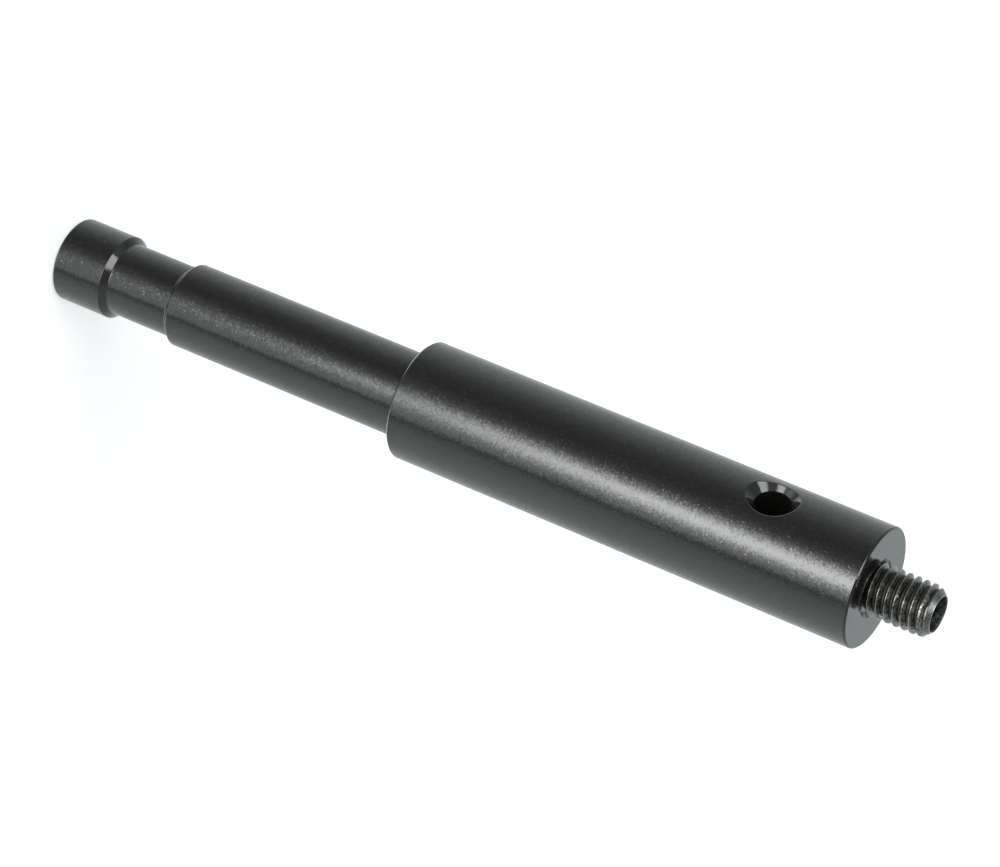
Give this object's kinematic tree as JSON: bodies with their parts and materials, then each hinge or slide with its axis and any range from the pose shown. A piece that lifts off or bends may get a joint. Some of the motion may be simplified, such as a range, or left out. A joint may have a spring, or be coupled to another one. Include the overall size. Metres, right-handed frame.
{
  "type": "baby pin",
  "caption": "Round turned spigot in black aluminium with a grooved head, a shank, a thicker body with a countersunk cross hole, and a steel threaded stud with a tapped tip.",
  "frame": {"origin": "centre of the flat end face of the head, which the pin stands on", "axes": "+Z along the pin's axis, from the head to the stud's tip; the cross hole runs along Y"},
  "size_m": [0.0222, 0.0222, 0.1798],
  "materials": {
    "black_aluminium": "satin black anodised, turned",
    "grey_steel": "plain cut thread, slightly oily"
  },
  "bodies": {
    "root": {"pin_body": "black_aluminium", "threaded_stud": "grey_steel"}
  },
  "joints": []
}
